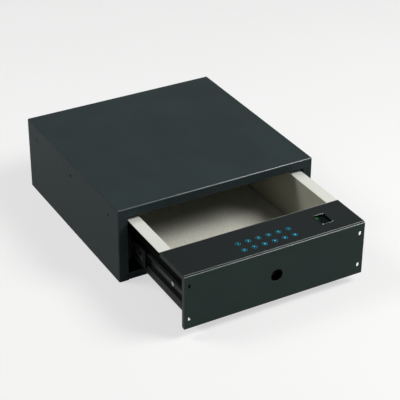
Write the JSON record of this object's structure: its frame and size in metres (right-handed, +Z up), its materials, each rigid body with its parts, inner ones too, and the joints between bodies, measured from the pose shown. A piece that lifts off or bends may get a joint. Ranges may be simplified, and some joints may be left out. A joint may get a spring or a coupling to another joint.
{
  "type": "under desk drawer safe",
  "caption": "Low steel cabinet with a lockable drawer on ball slides, pulled half out; lit touch keys and a fingerprint window on the drawer's head, cream liner inside.",
  "frame": {"origin": "middle of the cabinet's underside", "axes": "+Z up, the drawer opens towards -Y, +X to the right as seen from behind"},
  "size_m": [0.4, 0.5963, 0.148],
  "materials": {
    "black_coat": "satin black powder coat",
    "cream_coat": "cream powder coat",
    "felt": "pressed felt",
    "slide_steel": "blackened steel",
    "zinc_steel": "zinc plated",
    "bright_steel": "bright machined",
    "brass": "turned brass",
    "rubber": "moulded rubber",
    "black_plastic": "moulded black plastic",
    "circuit_board": "green circuit board",
    "key_light": "clear blue light guide",
    "dark_glass": "dark polished sensor window",
    "cell_wrap": "dark wrapped cell",
    "cable": "grey ribbon cable"
  },
  "bodies": {
    "cabinet": {"cabinet_wrap": "black_coat", "cabinet_base": "black_coat", "cabinet_back": "black_coat", "strike_bar": "zinc_steel", "left_slide_bracket": "black_coat", "right_slide_bracket": "black_coat", "left_outer_rail": "slide_steel", "right_outer_rail": "slide_steel", "left_rear_bumper": "rubber", "right_rear_bumper": "rubber"},
    "drawer": {"fascia": "black_coat", "drawer_shell": "black_coat", "drawer_liner": "cream_coat", "left_rim": "cream_coat", "right_rim": "cream_coat", "rear_rim": "cream_coat", "floor_mat": "felt", "head_cover": "black_coat", "left_inner_rail": "slide_steel", "right_inner_rail": "slide_steel", "left_front_slide_screw": "bright_steel", "right_front_slide_screw": "bright_steel", "left_rear_slide_screw": "bright_steel", "right_rear_slide_screw": "bright_steel", "keypad_light_guide": "key_light", "keypad_board": "circuit_board", "keypad_ribbon": "cable", "control_board": "circuit_board", "fingerprint_frame": "black_plastic", "fingerprint_glass": "dark_glass", "fingerprint_module": "black_plastic", "lock_chassis": "zinc_steel", "gear_motor": "bright_steel", "left_bolt_guide": "black_plastic", "right_bolt_guide": "black_plastic", "key_lock_body": "slide_steel", "key_lock_nut": "bright_steel", "battery_box": "black_plastic", "battery_1": "cell_wrap", "battery_2": "cell_wrap", "battery_3": "cell_wrap", "battery_4": "cell_wrap", "battery_bezel": "black_plastic", "battery_door_pin": "bright_steel"},
    "left_middle": {"left_middle_rail": "slide_steel"},
    "right_middle": {"right_middle_rail": "slide_steel"},
    "left_outer_cage": {"left_outer_ball_cage": "zinc_steel"},
    "right_outer_cage": {"right_outer_ball_cage": "zinc_steel"},
    "left_inner_cage": {"left_inner_ball_cage": "zinc_steel"},
    "right_inner_cage": {"right_inner_ball_cage": "zinc_steel"},
    "bolts": {"bolt_yoke": "zinc_steel", "left_lock_bolt": "bright_steel", "right_lock_bolt": "bright_steel"},
    "pinion": {"drive_pinion": "brass"},
    "key": {"key_plug": "slide_steel", "key_cam": "zinc_steel", "cam_screw": "bright_steel"},
    "door": {"battery_door": "black_plastic"}
  },
  "joints": [
    {"name": "left_middle_slide", "type": "slide", "parent": "cabinet", "child": "left_middle", "axis": [0, -1, 0], "range_m": [-0.052, 0.1205]},
    {"name": "drawer_slide", "type": "slide", "parent": "left_middle", "child": "drawer", "axis": [0, -1, 0], "range_m": [-0.1493, 0.0232]},
    {"name": "right_middle_slide", "type": "slide", "parent": "cabinet", "child": "right_middle", "axis": [0, -1, 0], "range_m": [-0.0521, 0.1206]},
    {"name": "left_outer_cage_slide", "type": "slide", "parent": "cabinet", "child": "left_outer_cage", "axis": [0, -1, 0], "range_m": [-0.0261, 0.06035]},
    {"name": "left_inner_cage_slide", "type": "slide", "parent": "left_middle", "child": "left_inner_cage", "axis": [0, -1, 0], "range_m": [-0.07475, 0.0117]},
    {"name": "right_outer_cage_slide", "type": "slide", "parent": "cabinet", "child": "right_outer_cage", "axis": [0, -1, 0], "range_m": [-0.0261, 0.06035]},
    {"name": "right_inner_cage_slide", "type": "slide", "parent": "right_middle", "child": "right_inner_cage", "axis": [0, -1, 0], "range_m": [-0.07475, 0.0117]},
    {"name": "bolt_throw", "type": "slide", "parent": "drawer", "child": "bolts", "axis": [0, 0, -1], "range_m": [0, 0.015]},
    {"name": "pinion_turn", "type": "hinge", "parent": "drawer", "child": "pinion", "pos_m": [-0.032, -0.3518, 0.058], "axis": [0, 1, 0], "range_deg": [0, 128.57]},
    {"name": "key_turn", "type": "hinge", "parent": "drawer", "child": "key", "pos_m": [0, -0.3623, 0.0707], "axis": [0, 1, 0], "range_deg": [0, 90]},
    {"name": "battery_door_swing", "type": "hinge", "parent": "drawer", "child": "door", "pos_m": [-0.1461, -0.3069, 0.0707], "axis": [0, 0, 1], "range_deg": [0, 95]}
  ],
  "couplings": [
    {"joint": "right_middle_slide", "follows": "left_middle_slide", "ratio": 1},
    {"joint": "left_outer_cage_slide", "follows": "left_middle_slide", "ratio": 0.5},
    {"joint": "left_inner_cage_slide", "follows": "drawer_slide", "ratio": 0.5},
    {"joint": "right_outer_cage_slide", "follows": "left_middle_slide", "ratio": 0.5},
    {"joint": "right_inner_cage_slide", "follows": "drawer_slide", "ratio": 0.5},
    {"joint": "pinion_turn", "follows": "bolt_throw", "rad_per_m": 142.86},
    {"joint": "key_turn", "follows": "bolt_throw", "rad_per_m": 104.72}
  ]
}
